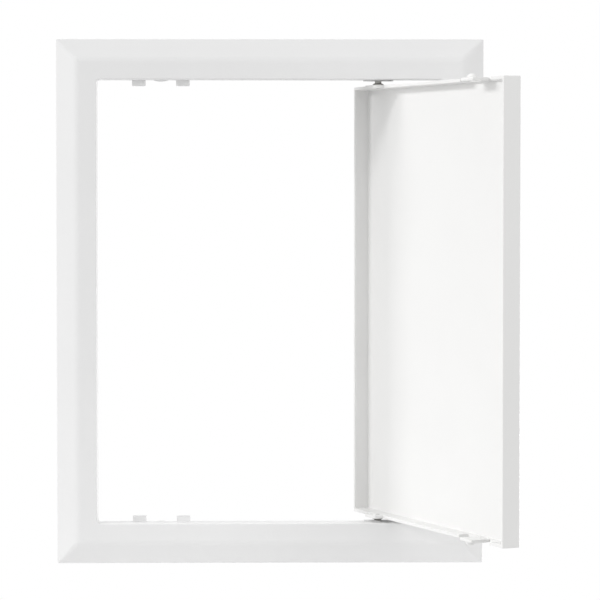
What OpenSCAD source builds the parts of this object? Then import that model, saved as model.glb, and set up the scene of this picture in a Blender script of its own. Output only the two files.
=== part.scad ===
// Snap-shut access panel for a wall or ceiling: a bevelled frame with a collar
// that drops into the cut-out, and a tray door that turns on two pins and
// clicks shut on two springy latch tongues.
// Every piece is drawn in panel coordinates, with the door shut: x across the
// panel, y up it and z out of the wall, from the back of the flange at z = 0.
// upright() stands the panel up, and hung() swings a piece of the door open too.

/* [Frame] */
// Width over the flange
frame_w = 218; // [180:1:320]
// Height over the flange
frame_h = 268; // [200:1:420]
// Width of the flange, from its outer edge to the opening
border_w = 20.8; // [20:0.1:26]
// Width of the sloping outer part of the flange
bevel_w = 10.6; // [6:0.1:10.8]
// Height of the flange's front face above the wall
face_h = 6; // [5:0.1:8]
// Thickness of the flange at its outer edge
edge_h = 1.5; // [1:0.1:2.5]
// Thickness of the flange's front skin
skin_t = 2; // [1.5:0.1:2.5]
// Width of the rim that rests on the wall
lip_w = 2; // [1.5:0.1:3]

/* [Collar and reveal] */
// Distance from the flange's outer edge to the collar
collar_inset = 11; // [11:0.1:12.5]
// Thickness of the collar
collar_t = 2; // [1.5:0.1:2.5]
// How far the collar reaches behind the flange
collar_depth = 20; // [14:0.5:40]
// Thickness of the reveal, the wall that lines the opening
reveal_t = 1.8; // [1.5:0.1:2.5]
// Depth of the reveal, from the front face back
reveal_depth = 12; // [11.5:0.5:20]
// Radius of the opening's corners
opening_r = 1.6; // [1:0.1:4]
// Radius of the opening's front edge
opening_edge_r = 0.8; // [0.4:0.1:1.2]
// Thickness of the stiffening webs behind the flange
web_t = 1.5; // [1:0.1:2.5]
// Spacing of the stiffening webs
web_pitch = 36; // [25:1:60]
// Depth of the stiffening webs
web_depth = 9; // [5:0.5:12]

/* [Door] */
// Gap between the door and the opening, all round
door_gap = 2.3; // [2.2:0.1:3]
// Depth of the door, from its front face to the back of its rim
door_depth = 9.1; // [8.5:0.1:10]
// Thickness of the door's panel
panel_t = 1.5; // [1.2:0.1:2]
// Thickness of the door's rim
rim_t = 1.6; // [1.5:0.1:2.5]
// Radius of the door's front edge
door_edge_r = 0.5; // [0.3:0.1:1.4]
// Radius of the door's upright corners
door_corner_r = 0.6; // [0.4:0.1:3]
// Radius between the panel and the rim, inside the tray
tray_fillet = 0.4; // [0.2:0.1:1]
// How far the door hangs below centre, resting on its lower pin
door_drop = 0.3; // [0.1:0.05:0.3]
// Angle at which the door stands open
open_angle = 112; // [0:1:145]

/* [Hinge] */
// Distance from the door's hinge edge to its pins
pivot_inset = 30.5; // [24:0.1:36]
// Width of the ear that carries a pin
ear_w = 12.7; // [10:0.1:16]
// How far an ear reaches behind the rim
ear_reach = 5; // [3.6:0.1:5.5]
// Radius of an ear's corners
ear_r = 2; // [1:0.1:3.4]
// Radius of a pin where it turns in the frame
pin_r = 1.7; // [1.4:0.05:2]
// Radius of the flange that a pin stands on, below its cone
cone_r = 2.8; // [2.4:0.1:3.2]
// Share of the room between the rim and a pad that a pin's flange takes
flange_share = 0.4; // [0.2:0.05:0.6]
// Share of that room that the flange and the cone take together
cone_share = 0.75; // [0.65:0.05:0.95]
// Radius of a pin's shank, in the ear
shank_r = 1.25; // [1:0.05:1.35]
// Length of pin that turns in the frame
journal_l = 4.5; // [3.5:0.1:5]
// Width of the raised pad around a socket
pad_w = 15.3; // [14:0.1:20]
// Height of that pad
pad_t = 0.5; // [0.4:0.05:0.9]
// How far that pad reaches past the socket, towards the front
pad_margin = 1; // [0.6:0.1:3]

/* [Latch] */
// Distance from the door's free edge to the middle of its tongues
latch_inset = 30.2; // [26:0.1:36]
// Width of a tongue
tongue_w = 12.7; // [10:0.1:14]
// How far a tongue reaches behind the rim
tongue_reach = 4.4; // [4.2:0.1:5]
// Thickness of a tongue at its root, where it bends
root_t = 1; // [0.8:0.05:1]
// Length over which a tongue thickens from its root
root_taper = 2; // [1:0.1:3]
// Length of the sloping lead-in at a tongue's end
lead_in = 0.6; // [0.2:0.1:0.8]
// Width of the slot on each side of a tongue
slot_w = 9.8; // [8.6:0.1:11]
// Depth of the slots, from the back of the rim
slot_depth = 5.2; // [5:0.1:6.8]
// Height of a tongue's bump
bump_h = 1.85; // [1.5:0.05:1.9]
// Width of the bump across its base
bump_d = 5.3; // [4.4:0.1:5.6]
// How far the bump's middle lies behind the rim
bump_set = 1.5; // [0.8:0.1:1.7]
// Width of a guide rib in the frame
rib_w = 6.9; // [5:0.1:8]
// Height of a guide rib
rib_h = 3; // [2.8:0.05:3.4]
// How far a guide rib enters the shut door's slot
rib_entry = 0.6; // [0.3:0.1:2]
// Height of the catch ridge between two guide ribs
catch_h = 0.85; // [0.8:0.05:1]
// Width of the catch ridge
catch_w = 8; // [6:0.5:11]
// Length of the catch ridge, front to back
catch_l = 2; // [1.6:0.1:2.4]

/* [Clearances] */
// Between a pin and its socket, on the radius
socket_clearance = 0.05; // [0.02:0.01:0.1]
// Between the lower pin's cone and its pad
seat_clearance = 0.05; // [0.02:0.01:0.1]
// Beyond the end of a pin
tip_clearance = 0.7; // [0.5:0.05:1]
// Between a tongue's root and its seat, on the radius
root_clearance = 0.05; // [0.02:0.01:0.08]
// Between the bump of the shut door and its catch
shut_clearance = 0.2; // [0.1:0.05:0.4]

/* [Hidden] */
$fn = 48;

// Steps in the arcs of a cross-section
arc_steps = 5;
// Overlap between solids that are joined
weld = 0.1;
// Margin by which a cutter passes a face
past = 1;

opening_w = frame_w - 2 * border_w;
opening_h = frame_h - 2 * border_w;
door_w = opening_w - 2 * door_gap;
door_h = opening_h - 2 * door_gap;

// Heights above the wall
hollow_z = face_h - skin_t;
reveal_z = face_h - reveal_depth;
panel_z = face_h - panel_t;
rim_z = face_h - door_depth;
tongue_z = rim_z - tongue_reach;
bump_z = rim_z - bump_set;
slot_z = rim_z + slot_depth;
rib_z = rim_z + rib_entry;
pad_z = rim_z + pin_r + socket_clearance + pad_margin;

// Places across the panel
pivot_x = door_w / 2 - pivot_inset;
latch_x = latch_inset - door_w / 2;
rib_offset = (tongue_w + slot_w) / 2;

// Width of the channel between the collar and the reveal
channel_inset = collar_inset + collar_t;
channel_w = border_w - reveal_t - channel_inset;

// A pin's flange and cone stand between the rim and the pad
stand_h = door_gap - pad_t - door_drop - seat_clearance;
flange_h = stand_h * flange_share;
cone_top = stand_h * cone_share;
socket_depth = journal_l + tip_clearance;

// Smallest gap at the ends of the hanging door
end_gap = door_gap - door_drop;

// The bump is part of a ball. The catch ridge is part of a ring: round from
// front to back, and crowned across
bump_r = bow_radius(bump_d, bump_h);
bump_root = rim_t / 3;
catch_r = bow_radius(catch_l, catch_h);
catch_crown_r = bow_radius(catch_w, catch_h);

// The ridge lies in front of the bump, clear of it by the shut clearance
catch_rise = end_gap - catch_h + catch_r - bump_h + bump_r;
catch_reach = bump_r + catch_r + shut_clearance;
catch_z = bump_z + sqrt(pow(catch_reach, 2) - pow(catch_rise, 2));

// Radius of an arc of the given width and height
function bow_radius(w, h) = (pow(w / 2, 2) + pow(h, 2)) / (2 * h);

// Points of an arc about a centre, from one angle to another
function arc(centre, r, from, to) = [
    for (i = [0 : arc_steps])
        let (a = from + (to - from) * i / arc_steps)
            centre + r * [cos(a), sin(a)]
];

// Cross-section of the frame: inset from its outer edge, and height
function frame_section() = concat(
    [[0, 0], [0, edge_h], [bevel_w, face_h]],
    arc([border_w - opening_edge_r, face_h - opening_edge_r], opening_edge_r, 90, 0),
    [
        [border_w, reveal_z],
        [border_w - reveal_t, reveal_z],
        [border_w - reveal_t, hollow_z],
        [channel_inset, hollow_z],
        [channel_inset, -collar_depth],
        [collar_inset, -collar_depth],
        [collar_inset, hollow_z],
        [bevel_w, hollow_z],
        [lip_w, 0],
    ]
);

// Cross-section of the tray's rim with the edge of its panel
function tray_section() = concat(
    [[0, rim_z]],
    arc([door_edge_r, face_h - door_edge_r], door_edge_r, 180, 90),
    [[2 * rim_t, face_h], [2 * rim_t, panel_z]],
    arc([rim_t + tray_fillet, panel_z - tray_fillet], tray_fillet, 90, 180),
    [[rim_t, rim_z]]
);

// Cross-section of a tongue: distance out from the middle of the rim, and height
function tongue_section() = [
    [root_t / 2, slot_z],
    [-root_t / 2, slot_z],
    [-rim_t / 2, slot_z - root_taper],
    [-rim_t / 2, tongue_z],
    [rim_t / 2 - lead_in / 2, tongue_z],
    [rim_t / 2, tongue_z + lead_in],
    [rim_t / 2, slot_z - root_taper],
];

// Stands the panel up: z goes up it, and -y faces the room
module upright() {
    rotate([90, 0, 0]) children();
}

// Hangs a piece of the shut door on the pins, and swings it open
module hung() {
    upright()
        translate([pivot_x, -door_drop, rim_z])
            rotate([0, open_angle, 0])
                translate([-pivot_x, 0, -rim_z])
                    children();
}

// A piece at the upper end of the panel, and its mirror image at the lower end
module both_ends() {
    children();
    mirror([0, 1, 0]) children();
}

// One side of a ring of the given cross-section, mitred at both ends
module mitred_side(run, rise, section) {
    reach = min(run, rise) / 2 - past;
    intersection() {
        translate([-run / 2, -rise / 2, 0])
            rotate([90, 0, 90])
                linear_extrude(run)
                    polygon(section);
        translate([0, -rise / 2, -collar_depth - past])
            linear_extrude(collar_depth + face_h + 2 * past)
                polygon([
                    [-run / 2, 0],
                    [run / 2, 0],
                    [run / 2 - reach, reach],
                    [reach - run / 2, reach],
                ]);
    }
}

// A rectangular ring of the given cross-section
module mitred_ring(w, h, section) {
    for (turn = [0, 180])
        rotate(turn) mitred_side(w, h, section);
    for (turn = [90, 270])
        rotate(turn) mitred_side(h, w, section);
}

// A rectangle with rounded corners
module rounded_rectangle(w, h, r) {
    square([w - 2 * r, h], center = true);
    square([w, h - 2 * r], center = true);
    for (x = [-1, 1], y = [-1, 1])
        translate([x * (w / 2 - r), y * (h / 2 - r)]) circle(r);
}

// Rounds the opening's corners, over the depth of the reveal
module corner_posts() {
    for (x = [0, 1], y = [0, 1])
        mirror([x, 0, 0])
            mirror([0, y, 0])
                translate([-opening_w / 2, -opening_h / 2, reveal_z])
                    linear_extrude(reveal_depth - opening_edge_r)
                        difference() {
                            translate([-weld, -weld]) square(opening_r + weld);
                            translate([opening_r, opening_r]) circle(opening_r);
                        }
}

// Stiffening webs across the channel along one side
module side_webs(run, rise) {
    count = floor((run / 2 - border_w) / web_pitch);
    for (i = [-count : count])
        translate([
            i * web_pitch - web_t / 2,
            channel_inset - rise / 2 - weld,
            hollow_z - web_depth,
        ])
            cube([web_t, channel_w + 2 * weld, web_depth + weld]);
}

module webs() {
    for (turn = [0, 180])
        rotate(turn) side_webs(frame_w, frame_h);
    for (turn = [90, 270])
        rotate(turn) side_webs(frame_h, frame_w);
}

// Block behind the reveal and pad in front of it, for one pin's socket
module pivot_block() {
    translate([pivot_x - ear_w / 2, opening_h / 2 + reveal_t - weld, reveal_z])
        cube([ear_w, channel_w + 2 * weld, hollow_z - reveal_z + weld]);
    translate([pivot_x - pad_w / 2, opening_h / 2 - pad_t, reveal_z])
        cube([pad_w, pad_t + weld, pad_z - reveal_z]);
}

module pivot_socket() {
    translate([pivot_x, opening_h / 2 - pad_t - past, rim_z])
        rotate([-90, 0, 0])
            cylinder(r = pin_r + socket_clearance, h = socket_depth + past);
}

// Two ribs that enter the door's slots and guide the tongue between them
module guide_ribs() {
    for (side = [-1, 1])
        translate([
            latch_x + side * rib_offset - rib_w / 2,
            opening_h / 2 - rib_h,
            reveal_z,
        ])
            cube([rib_w, rib_h + weld, rib_z - reveal_z]);
}

// The ridge between two guide ribs that a tongue's bump clicks behind
module catch_ridge() {
    crest = opening_h / 2 - catch_h;
    intersection() {
        translate([latch_x, crest + catch_crown_r, catch_z])
            rotate_extrude()
                translate([catch_crown_r - catch_r, 0]) circle(catch_r);
        translate([latch_x - catch_w / 2, crest - past, catch_z - catch_r])
            cube([catch_w, catch_h + past + weld, 2 * catch_r]);
    }
}

module frame() {
    color("whitesmoke")
        upright()
            difference() {
                union() {
                    mitred_ring(frame_w, frame_h, frame_section());
                    corner_posts();
                    webs();
                    both_ends() pivot_block();
                    both_ends() guide_ribs();
                    both_ends() catch_ridge();
                }
                both_ends() pivot_socket();
            }
}

// Rim and panel of the door, with its upright corners rounded
module tray() {
    intersection() {
        union() {
            mitred_ring(door_w, door_h, tray_section());
            translate([rim_t - door_w / 2, rim_t - door_h / 2, panel_z])
                cube([door_w - 2 * rim_t, door_h - 2 * rim_t, panel_t]);
        }
        translate([0, 0, rim_z - past])
            linear_extrude(door_depth + 2 * past)
                rounded_rectangle(door_w, door_h, door_corner_r);
    }
}

// Ear on the rim that carries a pin
module ear() {
    translate([pivot_x, door_h / 2, rim_z])
        rotate([90, 0, 0])
            linear_extrude(rim_t)
                rounded_rectangle(ear_w, 2 * ear_reach, ear_r);
}

module ear_hole() {
    translate([pivot_x, door_h / 2 + past, rim_z])
        rotate([90, 0, 0])
            cylinder(r = shank_r, h = rim_t + 2 * past);
}

// Gap in the rim for a tongue and its two slots, and the seat of the tongue's root
module latch_cut() {
    cut_w = tongue_w + 2 * slot_w;
    translate([latch_x - cut_w / 2, door_h / 2 - rim_t - past, tongue_z])
        cube([cut_w, rim_t + 2 * past, slot_z - tongue_z]);
    translate([latch_x - tongue_w / 2 - past, door_h / 2 - rim_t / 2, slot_z])
        rotate([0, 90, 0])
            cylinder(r = root_t / 2 + root_clearance, h = tongue_w + 2 * past);
}

module door_tray() {
    color("white")
        hung()
            difference() {
                union() {
                    tray();
                    both_ends() ear();
                }
                both_ends() ear_hole();
                both_ends() latch_cut();
            }
}

// Turned pin at the upper end: a shank pressed into the ear, a cone that stands
// on the rim and a journal that turns in the frame
module hinge_pin() {
    tip_chamfer = pin_r / 4;
    tip = stand_h + journal_l;
    translate([pivot_x, door_h / 2, rim_z])
        rotate([-90, 0, 0])
            rotate_extrude()
                polygon([
                    [0, -rim_t],
                    [shank_r, -rim_t],
                    [shank_r, 0],
                    [cone_r, 0],
                    [cone_r, flange_h],
                    [pin_r, cone_top],
                    [pin_r, tip - tip_chamfer],
                    [pin_r - tip_chamfer, tip],
                    [0, tip],
                ]);
}

module upper_hinge_pin() {
    color("dimgray") hung() hinge_pin();
}

module lower_hinge_pin() {
    color("dimgray") hung() mirror([0, 1, 0]) hinge_pin();
}

// Round bump on a tongue, with its foot in the tongue
module bump() {
    low = asin((bump_r - bump_h) / bump_r);
    translate([latch_x, door_h / 2, bump_z])
        rotate([-90, 0, 0])
            rotate_extrude()
                polygon(concat(
                    [[0, -bump_root], [bump_d / 2, -bump_root]],
                    arc([0, bump_h - bump_r], bump_r, low, 90)
                ));
}

// Springy tongue at the upper end, with its round root and its bump
module latch_tongue() {
    translate([latch_x - tongue_w / 2, door_h / 2 - rim_t / 2, 0]) {
        rotate([90, 0, 90])
            linear_extrude(tongue_w)
                polygon(tongue_section());
        translate([0, 0, slot_z])
            rotate([0, 90, 0])
                cylinder(r = root_t / 2, h = tongue_w);
    }
    bump();
}

module upper_latch_tongue() {
    color("white") hung() latch_tongue();
}

module lower_latch_tongue() {
    color("white") hung() mirror([0, 1, 0]) latch_tongue();
}

frame();
door_tray();
upper_hinge_pin();
lower_hinge_pin();
upper_latch_tongue();
lower_latch_tongue();
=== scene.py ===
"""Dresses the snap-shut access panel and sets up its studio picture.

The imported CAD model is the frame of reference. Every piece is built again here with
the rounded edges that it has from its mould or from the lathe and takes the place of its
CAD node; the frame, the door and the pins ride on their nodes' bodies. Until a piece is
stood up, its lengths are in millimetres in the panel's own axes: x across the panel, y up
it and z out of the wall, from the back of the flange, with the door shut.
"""

import logging
import math
from dataclasses import dataclass
from enum import Enum
from typing import Any, Iterable, NamedTuple, Sequence, Union

import bmesh
import bpy
from mathutils import Matrix, Vector


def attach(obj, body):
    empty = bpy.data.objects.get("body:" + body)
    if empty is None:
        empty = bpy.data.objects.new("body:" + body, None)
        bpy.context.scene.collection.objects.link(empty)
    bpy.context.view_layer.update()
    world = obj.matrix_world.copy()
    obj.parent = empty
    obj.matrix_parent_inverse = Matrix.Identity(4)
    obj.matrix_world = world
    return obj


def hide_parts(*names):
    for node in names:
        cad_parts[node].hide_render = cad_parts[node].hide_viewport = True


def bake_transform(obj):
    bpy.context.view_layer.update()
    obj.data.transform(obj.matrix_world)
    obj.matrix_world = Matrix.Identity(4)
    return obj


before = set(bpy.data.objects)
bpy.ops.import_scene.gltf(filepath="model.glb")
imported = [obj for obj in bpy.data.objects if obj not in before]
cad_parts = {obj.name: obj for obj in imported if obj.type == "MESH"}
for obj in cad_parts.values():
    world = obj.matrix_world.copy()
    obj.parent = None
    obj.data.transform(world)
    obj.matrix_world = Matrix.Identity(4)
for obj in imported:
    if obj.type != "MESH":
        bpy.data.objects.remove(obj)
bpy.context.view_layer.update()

log = logging.getLogger("access_panel")

MM = 0.001
# Faces and edges that are narrower than this, in metres, are left out of a merged mesh
SLIVER = 0.001 * MM
# The least radius, in millimetres, of a moulding's corner seen in plan
LEAST_PLAN_R = 0.3
# How far, in millimetres, a cutting tool reaches past what it cuts
OVERCUT = 1.0

Point = Sequence[float]
Term = Union["Value", float]


class Merge(Enum):
    """How a tool solid works on a body."""

    ADD = "UNION"
    CUT = "DIFFERENCE"


class End(Enum):
    """The panel's two ends, with the sign of their place up the panel."""

    UPPER = 1
    LOWER = -1

    def turned(self) -> Matrix:
        """Returns the mirror that takes a piece of the upper end to this end."""
        return Matrix.Diagonal((1, self.value, 1, 1))


class Corner(NamedTuple):
    """A corner of a cross-section, with its radius there and seen in plan."""

    inset: float
    height: float
    edge_r: float = 0.0
    plan_r: float = 0.0


# Shader maths


class Value:
    """A shader socket that takes part in Python expressions."""

    def __init__(
        self, sheet: "NodeSheet", socket: Union[bpy.types.NodeSocket, None]
    ) -> None:
        """Keeps the socket and the sheet that its maths goes on."""
        self.sheet = sheet
        self.socket = socket

    def _math(self, operation: str, first: Term, second: Term) -> "Value":
        """Adds a Math node to the sheet and returns its result."""
        return self.sheet.node(
            "ShaderNodeMath", {"operation": operation}, {0: first, 1: second}
        )

    def __add__(self, other: Term) -> "Value":
        """Returns self + other."""
        return self._math("ADD", self, other)

    def __radd__(self, other: float) -> "Value":
        """Returns other + self."""
        return self._math("ADD", other, self)

    def __sub__(self, other: Term) -> "Value":
        """Returns self - other."""
        return self._math("SUBTRACT", self, other)

    def __rsub__(self, other: float) -> "Value":
        """Returns other - self."""
        return self._math("SUBTRACT", other, self)

    def __mul__(self, other: Term) -> "Value":
        """Returns self * other."""
        return self._math("MULTIPLY", self, other)

    def __rmul__(self, other: float) -> "Value":
        """Returns other * self."""
        return self._math("MULTIPLY", other, self)

    def most(self, other: Term) -> "Value":
        """Returns the larger of self and other."""
        return self._math("MAXIMUM", self, other)

    def sine(self) -> "Value":
        """Returns the sine of self."""
        return self._math("SINE", self, 0.0)


class NodeSheet:
    """The node tree of a finish or of the world, emptied and filled anew."""

    # Sockets of a Mix node that blends colours
    MIX_FACTOR, MIX_FIRST, MIX_SECOND, MIX_RESULT = 0, 6, 7, 2

    def __init__(self, owner: Union[bpy.types.Material, bpy.types.World]) -> None:
        """Takes over the owner's node tree."""
        owner.use_nodes = True
        self.tree = owner.node_tree
        self.tree.nodes.clear()

    def node(
        self,
        kind: str,
        settings: Union[dict[str, Any], None] = None,
        inputs: Union[dict[Union[str, int], Any], None] = None,
        output: Union[str, int] = 0,
    ) -> Value:
        """Adds a node.

        Args:
            kind: The node's type.
            settings: Its own settings, which are set before its sockets.
            inputs: A value or a link for each socket that is named or numbered.
            output: The socket that the node's result is taken from.

        Returns:
            The result, for use in an expression or as another node's input.
        """
        made = self.tree.nodes.new(kind)
        for name, setting in (settings or {}).items():
            setattr(made, name, setting)
        for name, given in (inputs or {}).items():
            if isinstance(given, Value):
                self.tree.links.new(given.socket, made.inputs[name])
            else:
                made.inputs[name].default_value = given
        return Value(self, made.outputs[output] if len(made.outputs) else None)

    def colour_mix(self, factor: Value, first: Any, second: Any) -> Value:
        """Returns a blend of two colours, from the first at 0 to the second at 1."""
        return self.node(
            "ShaderNodeMix",
            {"data_type": "RGBA"},
            {self.MIX_FACTOR: factor, self.MIX_FIRST: first, self.MIX_SECOND: second},
            self.MIX_RESULT,
        )

    def noise(self, place: Value, size: float, detail: float) -> Value:
        """Returns noise from 0 to 1 with features of the given size in metres."""
        return self.node(
            "ShaderNodeTexNoise",
            {"noise_dimensions": "3D"},
            {"Vector": place, "Scale": 1 / size, "Detail": detail},
        )

    def seen(self) -> Value:
        """Returns 1 for what the camera sees, also mirrored or through glass."""
        camera, glossy, through = (
            self.node("ShaderNodeLightPath", output=f"Is {kind} Ray")
            for kind in ("Camera", "Glossy", "Transmission")
        )
        return camera.most(glossy).most(through)


# Finishes


def shade(colour: Point, level: float) -> tuple[float, float, float, float]:
    """Returns a colour at the given level, with full alpha."""
    return (*(part * level for part in colour), 1.0)


@dataclass(frozen=True)
class MouldedPlastic:
    """White plastic with the satin grain of a spark-eroded mould."""

    name: str
    colour: tuple[float, float, float]
    roughness: float = 0.42
    roughness_swing: float = 0.12
    tone_swing: float = 0.02
    cloud_size: float = 0.045
    cloud_detail: float = 3.0
    grain_size: float = 0.0007
    grain_detail: float = 2.0
    grain_depth: float = 0.000012
    ior: float = 1.46

    def material(self) -> bpy.types.Material:
        """Makes the finish.

        Returns:
            A material whose tone and gloss drift slowly over a fine raised grain.
        """
        material = bpy.data.materials.new(self.name)
        sheet = NodeSheet(material)
        place = sheet.node("ShaderNodeTexCoord", output="Object")
        cloud = sheet.noise(place, self.cloud_size, self.cloud_detail)
        grain = sheet.noise(place, self.grain_size, self.grain_detail)
        tone = sheet.colour_mix(
            cloud,
            shade(self.colour, 1 - self.tone_swing),
            shade(self.colour, 1 + self.tone_swing),
        )
        relief = sheet.node(
            "ShaderNodeBump",
            None,
            {"Strength": 1.0, "Distance": self.grain_depth, "Height": grain},
            "Normal",
        )
        surface = sheet.node(
            "ShaderNodeBsdfPrincipled",
            None,
            {
                "Base Color": tone,
                "Roughness": self.roughness + self.roughness_swing * (cloud - 0.5),
                "IOR": self.ior,
                "Normal": relief,
            },
        )
        sheet.node("ShaderNodeOutputMaterial", None, {"Surface": surface})
        return material


@dataclass(frozen=True)
class TurnedSteel:
    """Grey steel with the fine rings that a lathe tool leaves round it."""

    name: str
    colour: tuple[float, float, float]
    roughness: float = 0.4
    roughness_swing: float = 0.2
    tone_swing: float = 0.18
    stain_size: float = 0.0015
    stain_detail: float = 4.0
    ring_pitch: float = 0.00028
    ring_depth: float = 0.00001

    def material(self) -> bpy.types.Material:
        """Makes the finish.

        Returns:
            A material with rings round the vertical axis and faint oxide stains.
        """
        material = bpy.data.materials.new(self.name)
        sheet = NodeSheet(material)
        place = sheet.node("ShaderNodeTexCoord", output="Object")
        height = sheet.node("ShaderNodeSeparateXYZ", None, {0: place}, "Z")
        stain = sheet.noise(place, self.stain_size, self.stain_detail)
        wobble = height + self.ring_pitch * stain
        rings = (wobble * (2 * math.pi / self.ring_pitch)).sine()
        relief = sheet.node(
            "ShaderNodeBump",
            None,
            {"Strength": 1.0, "Distance": self.ring_depth, "Height": rings},
            "Normal",
        )
        tone = sheet.colour_mix(
            stain,
            shade(self.colour, 1 - self.tone_swing),
            shade(self.colour, 1 + self.tone_swing),
        )
        surface = sheet.node(
            "ShaderNodeBsdfPrincipled",
            None,
            {
                "Base Color": tone,
                "Metallic": 1.0,
                "Roughness": self.roughness + self.roughness_swing * (stain - 0.5),
                "Normal": relief,
            },
        )
        sheet.node("ShaderNodeOutputMaterial", None, {"Surface": surface})
        return material


@dataclass(frozen=True)
class FloorPaint:
    """Pale studio floor that fades out into the white round it."""

    name: str
    colour: tuple[float, float, float]
    inner_r: float
    outer_r: float
    white_share: float = 0.5
    roughness: float = 0.8
    speck_size: float = 0.004
    speck_detail: float = 2.0
    speck_swing: float = 0.01

    def material(self) -> bpy.types.Material:
        """Makes the finish.

        Returns:
            A material that takes shadows near the middle, and is clear at the rim
            and from below.
        """
        material = bpy.data.materials.new(self.name)
        sheet = NodeSheet(material)
        place = sheet.node("ShaderNodeTexCoord", output="Object")
        reach = sheet.node(
            "ShaderNodeVectorMath", {"operation": "LENGTH"}, {0: place}, "Value"
        )
        cover = sheet.node(
            "ShaderNodeMapRange",
            {"interpolation_type": "SMOOTHSTEP"},
            {
                "Value": reach,
                "From Min": self.inner_r,
                "From Max": self.outer_r,
                "To Min": 1.0,
                "To Max": 0.0,
            },
        )
        speck = sheet.noise(place, self.speck_size, self.speck_detail)
        paint = sheet.node(
            "ShaderNodeBsdfPrincipled",
            None,
            {
                "Base Color": sheet.colour_mix(
                    speck,
                    shade(self.colour, 1 - self.speck_swing),
                    shade(self.colour, 1 + self.speck_swing),
                ),
                "Roughness": self.roughness,
            },
        )
        white = sheet.node("ShaderNodeEmission", None, {"Strength": 1.0})
        share = self.white_share * sheet.seen()
        lit = sheet.node("ShaderNodeMixShader", None, {0: share, 1: paint, 2: white})
        clear = sheet.node("ShaderNodeBsdfTransparent")
        facing = sheet.node("ShaderNodeNewGeometry", output="Normal")
        upward = sheet.node("ShaderNodeSeparateXYZ", None, {0: facing}, "Z")
        surface = sheet.node(
            "ShaderNodeMixShader", None, {0: cover * upward.most(0.0), 1: clear, 2: lit}
        )
        sheet.node("ShaderNodeOutputMaterial", None, {"Surface": surface})
        return material


# Solids


def rounded(corners: Sequence[Corner], closed: bool, steps: int = 4) -> list[Corner]:
    """Rounds the corners of a cross-section.

    Args:
        corners: The cross-section's corners in order.
        closed: Whether the last corner is joined to the first.
        steps: The number of pieces that each arc is made of.

    Returns:
        The points of the rounded cross-section, each with its radius in plan.
    """
    points: list[Corner] = []
    for i, corner in enumerate(corners):
        at_end = not closed and i in (0, len(corners) - 1)
        if at_end or not corner.edge_r:
            points.append(corner)
            continue
        here = Vector(corner[:2])
        back = (Vector(corners[i - 1][:2]) - here).normalized()
        ahead = (Vector(corners[(i + 1) % len(corners)][:2]) - here).normalized()
        half = back.angle(ahead) / 2
        middle = here + (back + ahead).normalized() * (corner.edge_r / math.sin(half))
        leg = corner.edge_r / math.tan(half)
        start = here + back * leg - middle
        sweep = start.angle_signed(here + ahead * leg - middle)
        for step in range(steps + 1):
            spoke = start.copy()
            spoke.rotate(Matrix.Rotation(-sweep * step / steps, 2))
            inset, height = middle + spoke
            plan_r = max(corner.plan_r - (inset - corner.inset), LEAST_PLAN_R)
            points.append(Corner(inset, height, 0.0, plan_r))
    return points


def rounded_loop(half_w: float, half_h: float, radius: float, z: float) -> list[Vector]:
    """Traces a rectangle with rounded corners.

    Args:
        half_w: Half its width.
        half_h: Half its height.
        radius: The radius of its corners.
        z: The height at which it lies.

    Returns:
        Its points, anticlockwise, the same number for every rectangle.
    """
    steps = 6
    points = []
    for turn, (x, y) in enumerate(((1, 1), (-1, 1), (-1, -1), (1, -1))):
        for step in range(steps + 1):
            angle = math.radians(90 * (turn + step / steps))
            points.append(
                Vector((
                    x * (half_w - radius) + radius * math.cos(angle),
                    y * (half_h - radius) + radius * math.sin(angle),
                    z,
                ))
            )
    return points


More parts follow.
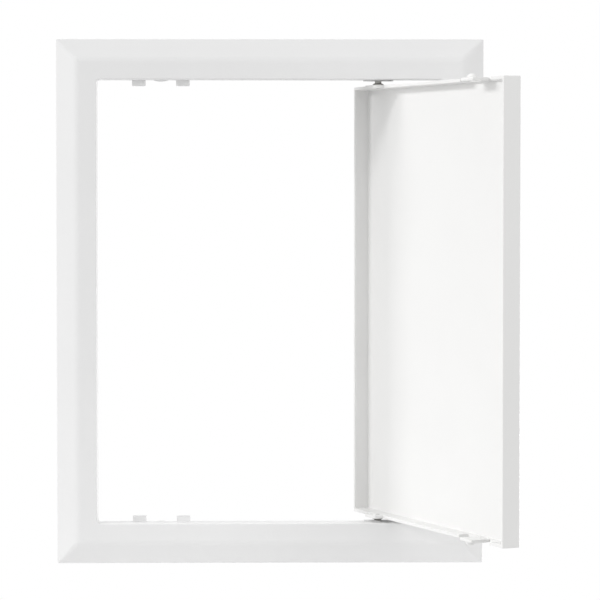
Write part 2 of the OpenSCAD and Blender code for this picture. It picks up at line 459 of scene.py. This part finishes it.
class Solid:
    """A closed shape, or several, while it is being drawn."""

    def __init__(self) -> None:
        """Starts with nothing drawn."""
        self.mesh = bmesh.new()

    def loft(
        self,
        loops: Iterable[Sequence[Point]],
        place: Matrix = Matrix(),
        closed: bool = False,
    ) -> None:
        """Joins loops of points into a skin.

        Args:
            loops: The loops in order, all with the same number of points.
            place: Where the shape stands.
            closed: Whether the last loop is joined to the first, or both are capped.
        """
        rows = [
            [self.mesh.verts.new(place @ Vector(point)) for point in loop]
            for loop in loops
        ]
        pairs = list(zip(rows, rows[1:]))
        if closed:
            pairs.append((rows[-1], rows[0]))
        else:
            self.mesh.faces.new(rows[0])
            self.mesh.faces.new(rows[-1])
        for first, second in pairs:
            for i in range(len(first)):
                self.mesh.faces.new((first[i - 1], first[i], second[i], second[i - 1]))

    def ring(self, w: float, h: float, section: Sequence[Corner], closed: bool) -> None:
        """Draws a rectangular moulding of the given cross-section.

        Args:
            w: Its width outside.
            h: Its height outside.
            section: Its rounded cross-section.
            closed: Whether the cross-section closes, or its two ends are panels.
        """
        self.loft(
            [
                rounded_loop(w / 2 - inset, h / 2 - inset, plan_r, z)
                for inset, z, _, plan_r in section
            ],
            closed=closed,
        )

    def slab(
        self, low: Point, high: Point, plan_r: float, edge_r: float, place: Matrix = Matrix()
    ) -> None:
        """Draws a box with rounded upright corners and rounded edges.

        Args:
            low: Its lowest corner.
            high: Its highest corner.
            plan_r: The radius of its upright corners.
            edge_r: The radius of its lower and upper edges.
            place: Where it stands.
        """
        size = (Vector(high) - Vector(low)) / 2
        middle = Matrix.Translation((Vector(high) + Vector(low)) / 2)
        section = rounded(
            [
                Corner(edge_r, -size.z, 0.0, plan_r),
                Corner(0.0, -size.z, edge_r, plan_r),
                Corner(0.0, size.z, edge_r, plan_r),
                Corner(edge_r, size.z, 0.0, plan_r),
            ],
            closed=False,
            steps=3,
        )[1:-1]
        self.loft(
            [
                rounded_loop(size.x - inset, size.y - inset, plan_r, z)
                for inset, z, _, plan_r in section
            ],
            place @ middle,
        )

    def turned(self, profile: Sequence[Corner], place: Matrix) -> None:
        """Draws a shape that is turned about its own z.

        Args:
            profile: Its rounded outline, with each point's radius as its inset.
            place: Where it stands.
        """
        sides = 48
        spokes = [
            (math.cos(2 * math.pi * i / sides), math.sin(2 * math.pi * i / sides))
            for i in range(sides)
        ]
        self.loft(
            [[(r * x, r * y, z) for x, y in spokes] for r, z, _, _ in profile], place
        )

    def stand(self, name: str, place: Matrix) -> bpy.types.Object:
        """Makes an object of what is drawn.

        Args:
            name: The object's name.
            place: The way from the panel's millimetres to its place in metres.

        Returns:
            The object, at the origin, with its place in its mesh.
        """
        self.mesh.transform(place)
        bmesh.ops.recalc_face_normals(self.mesh, faces=self.mesh.faces)
        made = bpy.data.objects.new(name, bpy.data.meshes.new(name))
        self.mesh.to_mesh(made.data)
        self.mesh.free()
        bpy.context.collection.objects.link(made)
        return made


def merge(body: bpy.types.Object, tool: bpy.types.Object, how: Merge) -> None:
    """Adds a tool solid to a body or cuts it out, cleans the seam and deletes the tool.

    Args:
        body: The solid that is kept.
        tool: The solid that works on it.
        how: Whether the tool is added or cut out.
    """
    modifier = body.modifiers.new(how.name, "BOOLEAN")
    modifier.operation = how.value
    modifier.solver = "EXACT"
    modifier.object = tool
    graph = bpy.context.evaluated_depsgraph_get()
    shaped = bpy.data.meshes.new_from_object(body.evaluated_get(graph))
    body.modifiers.remove(modifier)
    seam = bmesh.new()
    seam.from_mesh(shaped)
    bmesh.ops.remove_doubles(seam, verts=seam.verts, dist=SLIVER)
    bmesh.ops.dissolve_degenerate(seam, edges=seam.edges, dist=SLIVER)
    seam.to_mesh(shaped)
    seam.free()
    body.data = shaped
    bpy.data.objects.remove(tool)


def smooth(body: bpy.types.Object, crease: float = 35.0) -> None:
    """Shades a body smoothly over its rounded edges, with its flats kept flat.

    Args:
        body: The body to shade.
        crease: The angle in degrees above which an edge stays sharp.
    """
    body.data.shade_smooth()
    body.data.set_sharp_from_angle(angle=math.radians(crease))
    modifier = body.modifiers.new("flat_faces", "WEIGHTED_NORMAL")
    modifier.keep_sharp = True


def hand_over(
    body: bpy.types.Object, node: str, material: bpy.types.Material
) -> None:
    """Puts a piece in its CAD node's place.

    Args:
        body: The piece.
        node: The CAD node that it stands for.
        material: Its finish.
    """
    body.data.materials.clear()
    body.data.materials.append(material)
    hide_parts(node)
    log.info("%s stands for %s", body.name, node)


# The panel


def bow_radius(width: float, height: float) -> float:
    """Returns the radius of an arc of the given width and height."""
    return ((width / 2) ** 2 + height**2) / (2 * height)


@dataclass(frozen=True)
class Layout:
    """The sizes that the frame and the door share."""

    frame_w: float = 218.0
    frame_h: float = 268.0
    border_w: float = 20.8
    face_h: float = 6.0
    door_gap: float = 2.3
    door_depth: float = 9.1
    door_drop: float = 0.3
    open_angle: float = 112.0
    rim_t: float = 1.6
    tongue_reach: float = 4.4
    pivot_inset: float = 30.5
    latch_inset: float = 30.2
    tongue_w: float = 12.7
    slot_w: float = 9.8
    slot_depth: float = 5.2
    bump_h: float = 1.85
    bump_d: float = 5.3
    bump_set: float = 1.5
    root_t: float = 1.0
    pad_t: float = 0.5
    pin_r: float = 1.7
    shank_r: float = 1.25
    play: float = 0.05
    shut_gap: float = 0.2

    @property
    def opening_w(self) -> float:
        """The width of the opening."""
        return self.frame_w - 2 * self.border_w

    @property
    def opening_h(self) -> float:
        """The height of the opening."""
        return self.frame_h - 2 * self.border_w

    @property
    def door_w(self) -> float:
        """The width of the door."""
        return self.opening_w - 2 * self.door_gap

    @property
    def door_h(self) -> float:
        """The height of the door."""
        return self.opening_h - 2 * self.door_gap

    @property
    def rim_z(self) -> float:
        """The height of the back of the door's rim, where the pins lie."""
        return self.face_h - self.door_depth

    @property
    def tongue_z(self) -> float:
        """The height that the tongues reach down to."""
        return self.rim_z - self.tongue_reach

    @property
    def bump_z(self) -> float:
        """The height of the middle of the bumps."""
        return self.rim_z - self.bump_set

    @property
    def end_gap(self) -> float:
        """The smallest gap at the ends of the hanging door."""
        return self.door_gap - self.door_drop

    @property
    def slot_z(self) -> float:
        """The height of the slots' ends, where the tongues bend."""
        return self.rim_z + self.slot_depth

    @property
    def pivot_x(self) -> float:
        """The place of the pins across the panel."""
        return self.door_w / 2 - self.pivot_inset

    @property
    def latch_x(self) -> float:
        """The place of the tongues' middles across the panel."""
        return self.latch_inset - self.door_w / 2

    @property
    def bump_r(self) -> float:
        """The radius of the ball that a bump is part of."""
        return bow_radius(self.bump_d, self.bump_h)

    def upright(self) -> Matrix:
        """Returns the way from the panel's millimetres to the standing panel."""
        return Matrix.Rotation(math.radians(90), 4, "X") @ Matrix.Scale(MM, 4)

    def hung(self) -> Matrix:
        """Returns the way from the shut door's millimetres to the open door."""
        axis = Vector((self.pivot_x, 0, self.rim_z))
        return (
            self.upright()
            @ Matrix.Translation(axis - Vector((0, self.door_drop, 0)))
            @ Matrix.Rotation(math.radians(self.open_angle), 4, "Y")
            @ Matrix.Translation(-axis)
        )


# Turns a slab or a turned shape so that its own z runs up the panel
UP_PANEL = Matrix.Rotation(math.radians(-90), 4, "X")
# Turns a turned shape so that its own z runs across the panel
ACROSS_PANEL = Matrix.Rotation(math.radians(90), 4, "Y")


@dataclass(frozen=True)
class WallFrame:
    """The fixed moulding, with its flange, collar, reveal, sockets, ribs and catches."""

    layout: Layout
    bevel_w: float = 10.6
    crease_r: float = 9.0
    crease_plan_r: float = 0.6
    edge_h: float = 1.5
    edge_r: float = 0.5
    foot_r: float = 0.25
    outline_r: float = 0.8
    skin_t: float = 2.0
    hollow_r: float = 0.6
    lip_w: float = 2.0
    lip_r: float = 0.2
    collar_inset: float = 11.0
    collar_t: float = 2.0
    collar_depth: float = 20.0
    collar_edge_r: float = 0.5
    collar_root_r: float = 0.3
    collar_plan_r: float = 2.0
    reveal_t: float = 1.8
    reveal_depth: float = 12.0
    reveal_edge_r: float = 0.4
    opening_r: float = 1.6
    opening_edge_r: float = 0.8
    web_t: float = 1.5
    web_pitch: float = 36.0
    web_depth: float = 9.0
    web_corner_r: float = 0.2
    web_edge_r: float = 0.3
    block_w: float = 12.7
    block_edge_r: float = 0.4
    pad_w: float = 15.3
    pad_margin: float = 1.0
    pad_edge_r: float = 0.12
    socket_depth: float = 5.2
    rib_w: float = 6.9
    rib_h: float = 3.0
    rib_entry: float = 0.6
    rib_edge_r: float = 0.15
    catch_h: float = 0.85
    catch_w: float = 8.0
    catch_l: float = 2.0
    catch_least_r: float = 0.02
    weld: float = 0.3
    set_in: float = 0.1

    @property
    def hollow_z(self) -> float:
        """The height of the flange's hollow back."""
        return self.layout.face_h - self.skin_t

    @property
    def reveal_z(self) -> float:
        """The height of the reveal's back edge."""
        return self.layout.face_h - self.reveal_depth

    @property
    def channel(self) -> tuple[float, float]:
        """The insets of the channel between the collar and the reveal."""
        return self.collar_inset + self.collar_t, self.layout.border_w - self.reveal_t

    def section(self) -> list[Corner]:
        """Returns the cross-section, from the flange's outer edge round."""
        border_w, face_h = self.layout.border_w, self.layout.face_h
        outer, inner = self.channel
        inner_r = self.opening_r + self.reveal_t
        collar_z = -self.collar_depth
        return rounded(
            [
                Corner(0, 0, self.foot_r, self.outline_r),
                Corner(0, self.edge_h, self.edge_r, self.outline_r),
                Corner(self.bevel_w, face_h, self.crease_r, self.crease_plan_r),
                Corner(border_w, face_h, self.opening_edge_r, self.opening_r),
                Corner(border_w, self.reveal_z, self.reveal_edge_r, self.opening_r),
                Corner(inner, self.reveal_z, self.reveal_edge_r, inner_r),
                Corner(inner, self.hollow_z, self.hollow_r, inner_r),
                Corner(outer, self.hollow_z, self.hollow_r, self.outline_r),
                Corner(outer, collar_z, self.collar_edge_r, self.outline_r),
                Corner(self.collar_inset, collar_z, self.collar_edge_r, self.collar_plan_r),
                Corner(self.collar_inset, self.hollow_z, self.collar_root_r, self.collar_plan_r),
                Corner(self.bevel_w, self.hollow_z, 0.0, self.crease_plan_r),
                Corner(self.lip_w, 0, self.lip_r, self.outline_r),
            ],
            closed=True,
        )

    def _add_webs(self, solid: Solid) -> None:
        """Draws the stiffening webs across the channel on all four sides.

        Args:
            solid: The solid that the webs are added to.
        """
        outer, inner = self.channel
        layout = self.layout
        sides = (
            (layout.frame_w, layout.frame_h, (0, 180)),
            (layout.frame_h, layout.frame_w, (90, 270)),
        )
        for run, rise, turns in sides:
            count = int((run / 2 - layout.border_w) // self.web_pitch)
            for turn in turns:
                for i in range(-count, count + 1):
                    x = i * self.web_pitch
                    solid.slab(
                        (
                            x - self.web_t / 2,
                            outer - rise / 2 - self.weld,
                            self.hollow_z - self.web_depth,
                        ),
                        (
                            x + self.web_t / 2,
                            inner - rise / 2 + self.weld,
                            self.hollow_z + self.weld,
                        ),
                        self.web_corner_r,
                        self.web_edge_r,
                        Matrix.Rotation(math.radians(turn), 4, "Z"),
                    )

    def _add_end(self, solid: Solid, end: End) -> None:
        """Draws the socket's block and pad, the guide ribs and the catch of one end.

        Args:
            solid: The solid that they are added to.
            end: The end of the panel that they stand at.
        """
        layout, weld = self.layout, self.weld
        outer, inner = self.channel
        edge = layout.opening_h / 2
        back = self.reveal_z + self.set_in
        pin, latch = layout.pivot_x, layout.latch_x
        place = end.turned()
        solid.slab(
            (pin - self.block_w / 2, layout.frame_h / 2 - inner - weld, back),
            (
                pin + self.block_w / 2,
                layout.frame_h / 2 - outer + weld,
                self.hollow_z + weld,
            ),
            self.block_edge_r,
            self.block_edge_r,
            place,
        )
        solid.slab(
            (pin - self.pad_w / 2, edge - layout.pad_t, back),
            (
                pin + self.pad_w / 2,
                edge + weld,
                layout.rim_z + layout.pin_r + layout.play + self.pad_margin,
            ),
            self.pad_edge_r,
            self.pad_edge_r,
            place,
        )
        offset = (layout.tongue_w + layout.slot_w) / 2
        for middle in (latch - offset, latch + offset):
            solid.slab(
                (middle - self.rib_w / 2, edge - self.rib_h, back),
                (
                    middle + self.rib_w / 2,
                    edge + weld,
                    layout.rim_z + self.rib_entry,
                ),
                self.rib_edge_r,
                self.rib_edge_r,
                place,
            )
        solid.turned(
            self._catch_profile(),
            place @ Matrix.Translation((latch, edge, self._catch_z())) @ ACROSS_PANEL,
        )

    def _catch_z(self) -> float:
        """Returns the height of the catch ridge, just in front of the shut bump."""
        layout = self.layout
        catch_r = bow_radius(self.catch_l, self.catch_h)
        rise = layout.end_gap - self.catch_h + catch_r - layout.bump_h + layout.bump_r
        reach = layout.bump_r + catch_r + layout.shut_gap
        return layout.bump_z + math.sqrt(reach**2 - rise**2)

    def _catch_profile(self) -> list[Corner]:
        """Returns the outline of the catch ridge, crowned along its width."""
        steps = 12
        crown_r = bow_radius(self.catch_w, self.catch_h)
        middle_r = crown_r - self.catch_h
        places = [self.catch_w * (i / steps - 0.5) for i in range(steps + 1)]
        return [
            Corner(max(math.sqrt(crown_r**2 - x**2) - middle_r, self.catch_least_r), x)
            for x in places
        ]

    def _sockets(self) -> Solid:
        """Returns the two round tools that cut the pins' sockets."""
        layout = self.layout
        radius = layout.pin_r + layout.play
        floor = layout.opening_h / 2 - layout.pad_t
        tools = Solid()
        for end in End:
            tools.turned(
                [Corner(radius, -OVERCUT), Corner(radius, self.socket_depth)],
                end.turned()
                @ Matrix.Translation((layout.pivot_x, floor, layout.rim_z))
                @ UP_PANEL,
            )
        return tools

    def build(self) -> bpy.types.Object:
        """Moulds the frame.

        Returns:
            The frame, standing in its place.
        """
        layout = self.layout
        place = layout.upright()
        moulding, extras = Solid(), Solid()
        moulding.ring(layout.frame_w, layout.frame_h, self.section(), closed=True)
        self._add_webs(extras)
        for end in End:
            self._add_end(extras, end)
        body = moulding.stand("wall_frame", place)
        merge(body, extras.stand("frame_extras", place), Merge.ADD)
        merge(body, self._sockets().stand("socket_tools", place), Merge.CUT)
        smooth(body)
        return body

    def dress(self, body: bpy.types.Object, plastic: bpy.types.Material) -> None:
        """Gives the frame its plastic and its place in the model.

        Args:
            body: The moulded frame.
            plastic: Its finish.
        """
        hand_over(body, "frame", plastic)
        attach(body, "frame")


@dataclass(frozen=True)
class TrayDoor:
    """The door: a shallow tray with ears for its pins and slots beside its latch."""

    layout: Layout
    panel_t: float = 1.5
    edge_r: float = 0.5
    corner_r: float = 0.6
    inner_r: float = 0.5
    tray_fillet: float = 0.4
    back_edge_r: float = 0.25
    ear_w: float = 12.7
    ear_reach: float = 5.0
    ear_r: float = 2.0
    panel_inset: float = 6.0
    gap_overcut: float = 0.7
    gap_corner_r: float = 0.5
    gap_edge_r: float = 0.1
    seat_overcut: float = 0.5
    skim: float = 0.02

    def section(self) -> list[Corner]:
        """Returns the cross-section, from inside the tray round to its face."""
        layout = self.layout
        panel_z = layout.face_h - self.panel_t
        return rounded(
            [
                Corner(self.panel_inset, panel_z, 0.0, self.inner_r),
                Corner(layout.rim_t, panel_z, self.tray_fillet, self.inner_r),
                Corner(layout.rim_t, layout.rim_z, self.back_edge_r, self.inner_r),
                Corner(0, layout.rim_z, self.back_edge_r, self.corner_r),
                Corner(0, layout.face_h, self.edge_r, self.corner_r),
                Corner(self.panel_inset, layout.face_h, 0.0, self.inner_r),
            ],
            closed=False,
            steps=5,
        )

    def _ears(self) -> Solid:
        """Returns the two plates that carry the pins."""
        layout = self.layout
        ears = Solid()
        for end in End:
            ears.slab(
                (-self.ear_w / 2, -self.ear_reach, self.skim - layout.rim_t),
                (self.ear_w / 2, self.ear_reach, -self.skim),
                self.ear_r,
                self.back_edge_r,
                end.turned()
                @ Matrix.Translation((layout.pivot_x, layout.door_h / 2, layout.rim_z))
                @ UP_PANEL,
            )
        return ears

    def _tools(self) -> Solid:
        """Returns the tools that cut the pins' holes."""
        layout = self.layout
        tools = Solid()
        for end in End:
            tools.turned(
                [
                    Corner(layout.shank_r, -layout.rim_t - OVERCUT),
                    Corner(layout.shank_r, OVERCUT),
                ],
                end.turned()
                @ Matrix.Translation((layout.pivot_x, layout.door_h / 2, layout.rim_z))
                @ UP_PANEL,
            )
        return tools

    def _gaps(self) -> Solid:
        """Returns the tools that cut the gaps for the tongues out of the rim."""
        layout = self.layout
        half = layout.tongue_w / 2 + layout.slot_w
        gaps = Solid()
        for end in End:
            gaps.slab(
                (-half, -layout.slot_z, -layout.rim_t - self.gap_overcut),
                (half, -layout.tongue_z, OVERCUT),
                self.gap_corner_r,
                self.gap_edge_r,
                end.turned()
                @ Matrix.Translation((layout.latch_x, layout.door_h / 2, 0))
                @ UP_PANEL,
            )
        return gaps

    def _seats(self) -> Solid:
        """Returns the round tools that cut the seats of the tongues' roots."""
        layout = self.layout
        radius = layout.root_t / 2 + layout.play
        half = layout.tongue_w / 2 + self.seat_overcut
        seats = Solid()
        for end in End:
            seats.turned(
                [Corner(radius, -half), Corner(radius, half)],
                end.turned()
                @ Matrix.Translation(
                    (
                        layout.latch_x,
                        (layout.door_h - layout.rim_t) / 2,
                        layout.slot_z,
                    )
                )
                @ ACROSS_PANEL,
            )
        return seats

    def build(self) -> bpy.types.Object:
        """Moulds the door.

        Returns:
            The door, standing open in its place.
        """
        layout = self.layout
        place = layout.hung()
        moulding = Solid()
        moulding.ring(layout.door_w, layout.door_h, self.section(), closed=False)
        body = moulding.stand("tray_door", place)
        merge(body, self._ears().stand("ear_plates", place), Merge.ADD)
        merge(body, self._tools().stand("pin_tools", place), Merge.CUT)
        merge(body, self._gaps().stand("gap_tools", place), Merge.CUT)
        merge(body, self._seats().stand("seat_tools", place), Merge.CUT)
        smooth(body)
        return body

    def dress(self, body: bpy.types.Object, plastic: bpy.types.Material) -> None:
        """Gives the door its plastic and its place in the model.

        Args:
            body: The moulded door.
            plastic: Its finish.
        """
        hand_over(body, "door_tray", plastic)
        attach(body, "door")


@dataclass(frozen=True)
class HingePin:
    """A turned pin: a shank in the ear, a flange and a cone, and a journal in the frame."""

    layout: Layout
    end: End
    cone_r: float = 2.8
    flange_share: float = 0.4
    cone_share: float = 0.75
    journal_l: float = 4.5
    tip_chamfer: float = 0.425
    end_hub_r: float = 0.4
    shank_edge_r: float = 0.2
    flange_foot_r: float = 0.1
    flange_edge_r: float = 0.12
    cone_edge_r: float = 0.15
    chamfer_foot_r: float = 0.2
    chamfer_edge_r: float = 0.15

    def build(self) -> bpy.types.Object:
        """Turns the pin.

        Returns:
            The pin, standing in its ear.
        """
        layout = self.layout
        stand_h = layout.end_gap - layout.pad_t - layout.play
        tip = stand_h + self.journal_l
        outline = [
            Corner(self.end_hub_r, -layout.rim_t),
            Corner(layout.shank_r, -layout.rim_t, self.shank_edge_r),
            Corner(layout.shank_r, 0),
            Corner(self.cone_r, 0, self.flange_foot_r),
            Corner(self.cone_r, self.flange_share * stand_h, self.flange_edge_r),
            Corner(layout.pin_r, self.cone_share * stand_h, self.cone_edge_r),
            Corner(layout.pin_r, tip - self.tip_chamfer, self.chamfer_foot_r),
            Corner(layout.pin_r - self.tip_chamfer, tip, self.chamfer_edge_r),
            Corner(self.end_hub_r, tip),
        ]
        pin = Solid()
        pin.turned(
            rounded(outline, closed=False),
            self.end.turned()
            @ Matrix.Translation((layout.pivot_x, layout.door_h / 2, layout.rim_z))
            @ UP_PANEL,
        )
        body = pin.stand(f"{self.end.name.lower()}_pin", layout.hung())
        smooth(body)
        return body

    def dress(self, body: bpy.types.Object, steel: bpy.types.Material) -> None:
        """Gives the pin its steel and its place in the model.

        Args:
            body: The turned pin.
            steel: Its finish.
        """
        hand_over(body, f"{self.end.name.lower()}_hinge_pin", steel)
        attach(body, "door")


@dataclass(frozen=True)
class LatchTongue:
    """A springy tongue between two slots of the rim, with a round bump on it."""

    layout: Layout
    end: End
    root_taper: float = 2.0
    lead_in: float = 0.6
    side_r: float = 0.25
    bend_l: float = 4.0
    taper_steps: int = 4
    cuts_along: int = 16
    root_angles: tuple[float, ...] = (75, 50, 25)
    tip_angles: tuple[float, ...] = (0, 30, 60, 90)
    bump_steps: int = 10
    bump_top_angle: float = 89.0

    def _loop(self, z: float, half_in: float, half_out: float) -> list[Vector]:
        """Traces the tongue across.

        Args:
            z: The height of the cut.
            half_in: How far the tongue reaches in from the middle of the rim.
            half_out: How far it reaches out.

        Returns:
            The points of the cut.
        """
        half_t = (half_in + half_out) / 2
        shift = Vector((0, (half_out - half_in) / 2, 0))
        loop = rounded_loop(
            self.layout.tongue_w / 2, half_t, min(self.side_r, half_t / 2), z
        )
        return [point + shift for point in loop]

    def _cuts(self) -> list[tuple[float, float, float]]:
        """Returns the cuts' heights, from the root, and their inner and outer reach."""
        layout = self.layout
        root, full = layout.root_t / 2, layout.rim_t / 2
        top, low = layout.slot_z, layout.tongue_z
        cuts = []
        for angle in self.root_angles:
            a = math.radians(angle)
            cuts.append((top + root * math.sin(a), root * math.cos(a), root * math.cos(a)))
        for i in range(self.taper_steps + 1):
            half = root + (full - root) * i / self.taper_steps
            cuts.append((top - self.root_taper * i / self.taper_steps, half, half))
        start, stop = top - self.root_taper, low + self.lead_in
        for i in range(1, self.cuts_along + 1):
            cuts.append((start + (stop - start) * i / self.cuts_along, full, full))
        for angle in self.tip_angles:
            a = math.radians(angle)
            z = low + self.side_r * (1 - math.sin(a))
            off = self.side_r * (1 - math.cos(a))
            slope = (self.lead_in - (z - low)) / 2
            cuts.append((z, full - off, full - slope - off))
        return cuts

    def _bump(self) -> Solid:
        """Returns the round bump, with its foot in the tongue."""
        layout = self.layout
        ball_r = layout.bump_r
        middle = layout.bump_h - ball_r
        low = math.asin(-middle / ball_r)
        high = math.radians(self.bump_top_angle)
        foot = -layout.rim_t / 3
        profile = [Corner(layout.bump_d / 2, foot)]
        for i in range(self.bump_steps + 1):
            a = low + (high - low) * i / self.bump_steps
            profile.append(Corner(ball_r * math.cos(a), middle + ball_r * math.sin(a)))
        bump = Solid()
        bump.turned(
            profile,
            self.end.turned()
            @ Matrix.Translation((layout.latch_x, layout.door_h / 2, layout.bump_z))
            @ UP_PANEL,
        )
        return bump

    def build(self) -> bpy.types.Object:
        """Moulds the tongue.

        Returns:
            The tongue, standing in its gap in the rim.
        """
        layout = self.layout
        place = layout.hung()
        tongue = Solid()
        middle = Vector((layout.latch_x, (layout.door_h - layout.rim_t) / 2, 0))
        tongue.loft(
            [self._loop(*cut) for cut in self._cuts()],
            self.end.turned() @ Matrix.Translation(middle),
        )
        body = tongue.stand(f"{self.end.name.lower()}_tongue_spring", place)
        merge(body, self._bump().stand("bump", place), Merge.ADD)
        smooth(body)
        return body

    def dress(self, body: bpy.types.Object, plastic: bpy.types.Material) -> None:
        """Gives the tongue the door's plastic and keeps its place in its mesh.

        Args:
            body: The moulded tongue.
            plastic: The door's finish.
        """
        layout, name = self.layout, self.end.name.lower()
        root = Vector((layout.latch_x, self.end.value * layout.door_h / 2, layout.slot_z))
        hand_over(body, f"{name}_latch_tongue", plastic)
        layout.hung() @ root
        layout.hung() @ (root - Vector((0, 0, self.bend_l)))
        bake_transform(body)


# The studio


@dataclass(frozen=True)
class SoftLamp:
    """A square or oblong lamp that faces the panel."""

    name: str
    towards: tuple[float, float, float]
    distance: float
    size: tuple[float, float]
    level: float

    def hang(self) -> None:
        """Hangs the lamp so that a face turned to it shows its colour times level."""
        data = bpy.data.lights.new(self.name, "AREA")
        data.shape = "RECTANGLE"
        data.size, data.size_y = self.size
        data.energy = self.level * math.pi**2 * self.distance**2
        lamp = bpy.data.objects.new(self.name, data)
        direction = Vector(self.towards).normalized()
        lamp.location = direction * self.distance
        lamp.rotation_euler = direction.to_track_quat("Z", "Y").to_euler()
        bpy.context.collection.objects.link(lamp)
        log.info("lamp %s at level %.2f", self.name, self.level)


@dataclass(frozen=True)
class Studio:
    """White surroundings, soft lamps and a floor some way below the panel."""

    ambient: float = 0.55
    floor_z: float = -0.2
    floor_r: float = 0.3
    floor_hub_r: float = 0.015
    floor_t: float = 0.004

    def light(self, lamps: Iterable[SoftLamp]) -> None:
        """Lights the scene.

        Args:
            lamps: The lamps to hang.
        """
        world = bpy.data.worlds.new("white_studio")
        bpy.context.scene.world = world
        sheet = NodeSheet(world)
        dim, white = (
            sheet.node(
                "ShaderNodeBackground", None, {"Color": (1, 1, 1, 1), "Strength": level}
            )
            for level in (self.ambient, 1.0)
        )
        both = sheet.node("ShaderNodeMixShader", None, {0: sheet.seen(), 1: dim, 2: white})
        sheet.node("ShaderNodeOutputWorld", None, {"Surface": both})
        for lamp in lamps:
            lamp.hang()

    def lay_floor(self, paint: FloorPaint) -> None:
        """Lays the floor.

        Args:
            paint: Its finish.
        """
        disc = Solid()
        disc.turned(
            [
                Corner(self.floor_hub_r, 0),
                Corner(self.floor_r, 0),
                Corner(self.floor_r, -self.floor_t),
                Corner(self.floor_hub_r, -self.floor_t),
            ],
            Matrix(),
        )
        floor = disc.stand("floor", Matrix())
        floor.location.z = self.floor_z
        floor.data.materials.append(paint.material())


@dataclass(frozen=True)
class PhotoCamera:
    """The camera, where the photograph was taken from."""

    place: tuple[float, float, float] = (-0.008173, -1.469793, 0.056731)
    pitch: float = -2.177
    yaw: float = -0.9174
    lens: float = 172.43
    sensor: float = 36.0
    near: float = 0.05
    far: float = 20.0

    def aim(self) -> None:
        """Puts the camera in its place and makes it the scene's own."""
        data = bpy.data.cameras.new("photo_camera")
        data.lens, data.sensor_width = self.lens, self.sensor
        data.clip_start, data.clip_end = self.near, self.far
        camera = bpy.data.objects.new("photo_camera", data)
        camera.location = self.place
        camera.rotation_euler = (
            math.radians(90 + self.pitch),
            0.0,
            math.radians(self.yaw),
        )
        bpy.context.collection.objects.link(camera)
        bpy.context.scene.camera = camera


LAMPS = (
    SoftLamp("key_left", (-0.85, -0.3, 0.43), 2.8, (0.4, 0.4), 0.214),
    SoftLamp("high_left", (-0.92, -0.02, 0.38), 2.8, (0.45, 0.45), 0.166),
    SoftLamp("low_left", (-0.97, -0.2, 0.12), 2.8, (0.7, 0.5), 0.114),
    SoftLamp("front_left", (-0.75, -0.6, 0.25), 2.8, (1.2, 1.0), 0.038),
    SoftLamp("front_right", (0.6, -0.9, 0.2), 2.0, (1.0, 1.0), 0.225),
    SoftLamp("top", (0.0, -0.25, 1.0), 1.6, (1.0, 1.0), 0.095),
    SoftLamp("top_back", (-0.1, 0.5, 0.85), 1.5, (0.8, 0.8), 0.2),
    SoftLamp("right_back", (0.85, 0.42, -0.22), 0.7, (0.3, 0.2), 0.35),
)


def main() -> None:
    """Builds and dresses the panel, then the studio and the camera."""
    logging.basicConfig(level=logging.INFO, format="%(name)s: %(message)s")
    bpy.context.scene.view_settings.view_transform = "Standard"
    layout = Layout()
    frame_plastic = MouldedPlastic("frame_plastic", (0.83, 0.83, 0.83)).material()
    door_plastic = MouldedPlastic("door_plastic", (0.852, 0.85, 0.842)).material()
    steel = TurnedSteel("pin_steel", (0.4, 0.395, 0.38)).material()

    surround = WallFrame(layout)
    surround.dress(surround.build(), frame_plastic)
    door = TrayDoor(layout)
    door.dress(door.build(), door_plastic)
    for end in End:
        pin = HingePin(layout, end)
        pin.dress(pin.build(), steel)
        tongue = LatchTongue(layout, end)
        tongue.dress(tongue.build(), door_plastic)

    studio = Studio()
    pale = FloorPaint("floor_paint", (0.93, 0.93, 0.93), inner_r=0.16, outer_r=0.27)
    studio.lay_floor(pale)
    studio.light(LAMPS)
    PhotoCamera().aim()


if __name__ == "__main__":
    main()
